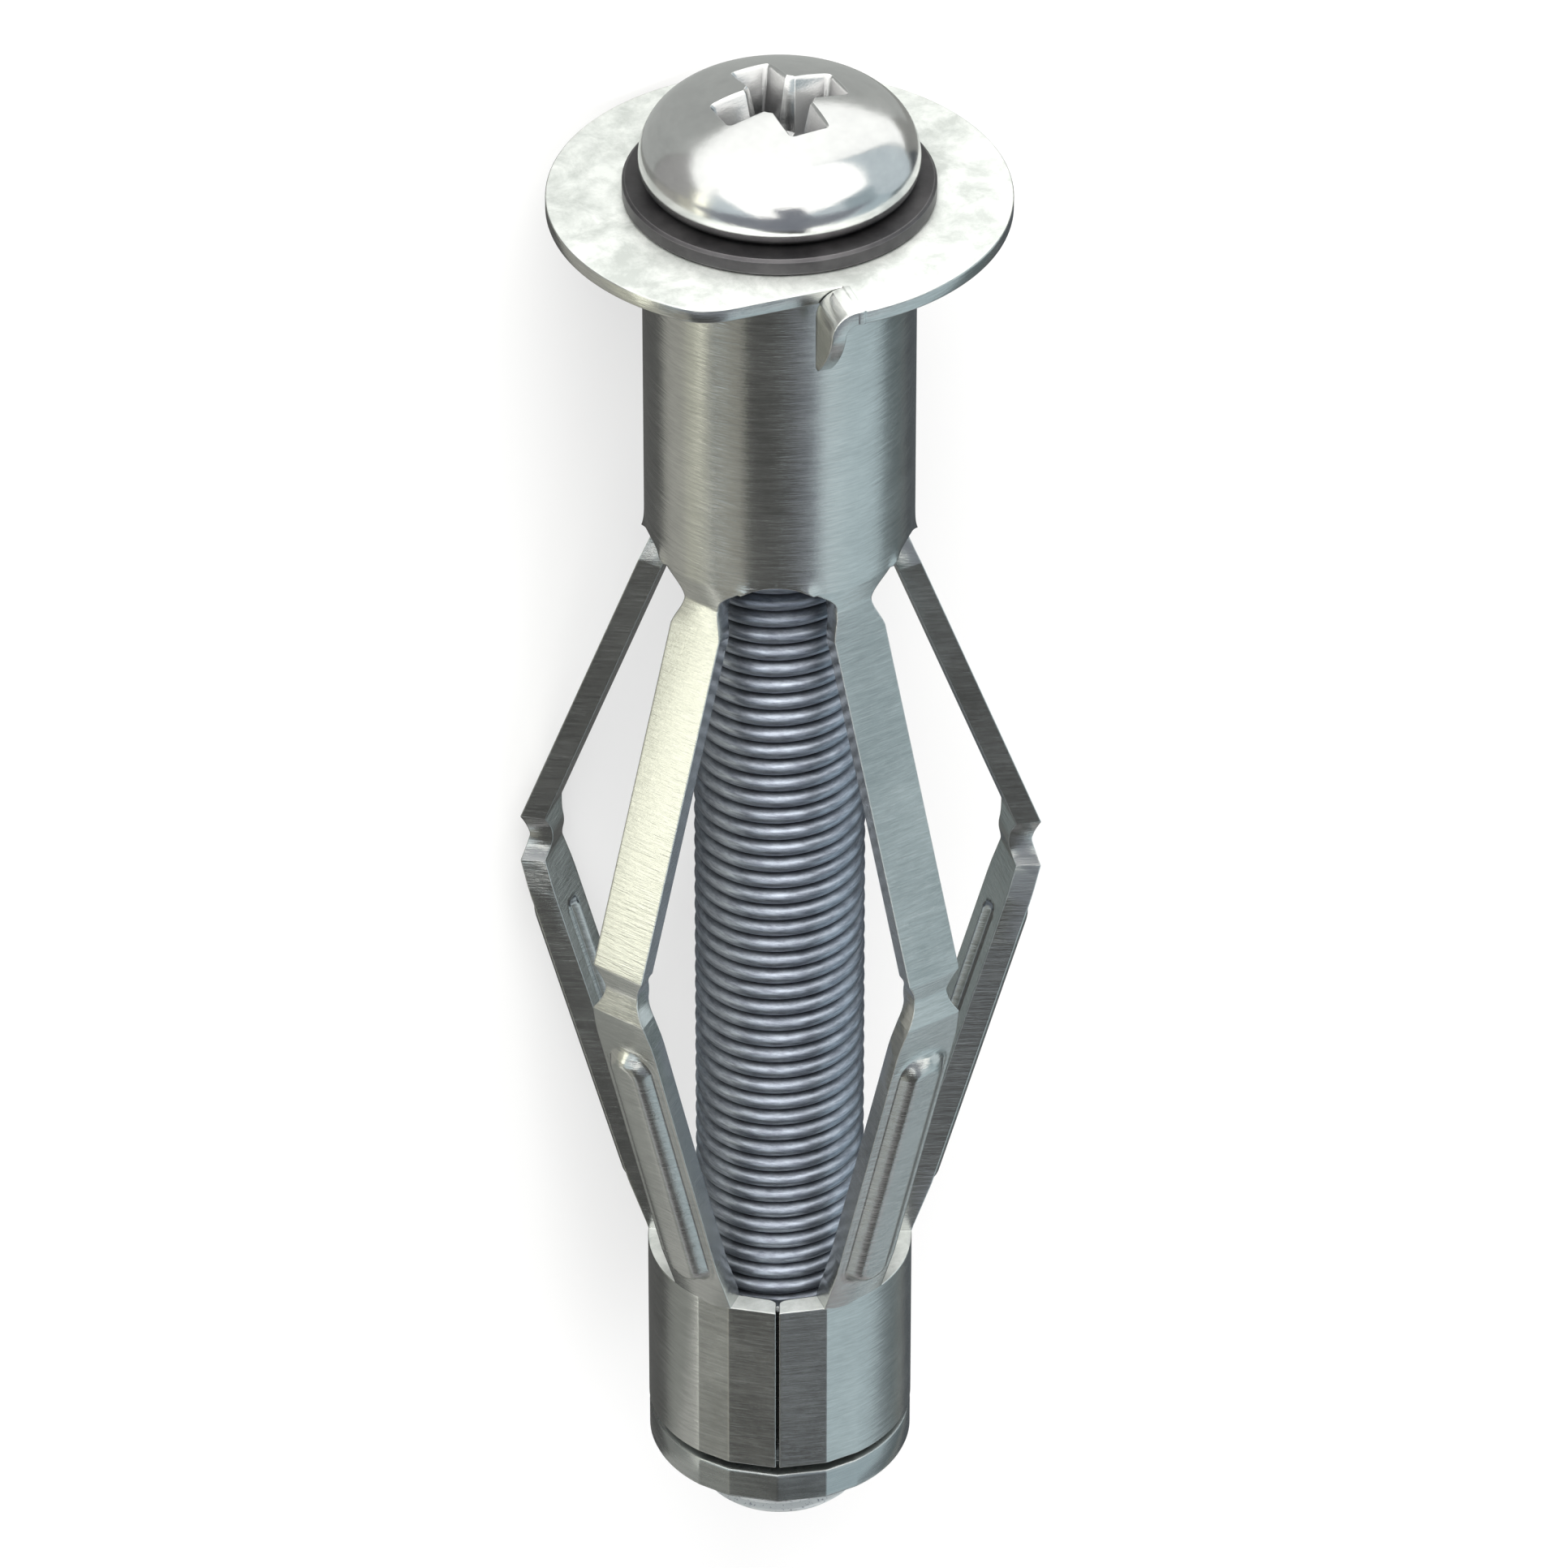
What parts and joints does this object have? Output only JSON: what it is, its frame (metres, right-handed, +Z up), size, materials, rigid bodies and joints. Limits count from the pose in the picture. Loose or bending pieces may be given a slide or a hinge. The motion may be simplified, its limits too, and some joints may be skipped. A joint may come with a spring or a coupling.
{
  "type": "hollow wall anchor",
  "caption": "Expanding metal anchor for hollow walls: a flanged sleeve with folded legs, a captive nut, a washer and a cross-recess screw.",
  "frame": {"origin": "on the anchor's axis, in the flange's bearing face, which lies against the wall board", "axes": "+Y along the axis from the flange towards the screw's tip, +Z up through the first leg; the anchor lies on its flange's rim and two knees"},
  "size_m": [0.023, 0.0743, 0.022],
  "materials": {
    "sleeve_zinc": "bright zinc plate over rolled sheet",
    "nut_zinc": "bright zinc plate",
    "screw_zinc": "bright zinc plate over rolled thread",
    "washer_dark": "dark oxide, satin"
  },
  "bodies": {
    "anchor": {"sleeve": "sleeve_zinc", "nut": "nut_zinc"},
    "washer": {"washer": "washer_dark"},
    "screw": {"screw": "screw_zinc"}
  },
  "joints": [
    {"name": "screw_travel", "type": "slide", "parent": "anchor", "child": "washer", "axis": [0, -1, 0], "range_m": [0, 0.0122]},
    {"name": "screw_turn", "type": "hinge", "parent": "washer", "child": "screw", "pos_m": [0, 0, 0], "axis": [0, -1, 0], "range_deg": [0, 5040]}
  ],
  "couplings": [
    {"joint": "screw_travel", "follows": "screw_turn", "m_per_rad": 0.00013842}
  ]
}
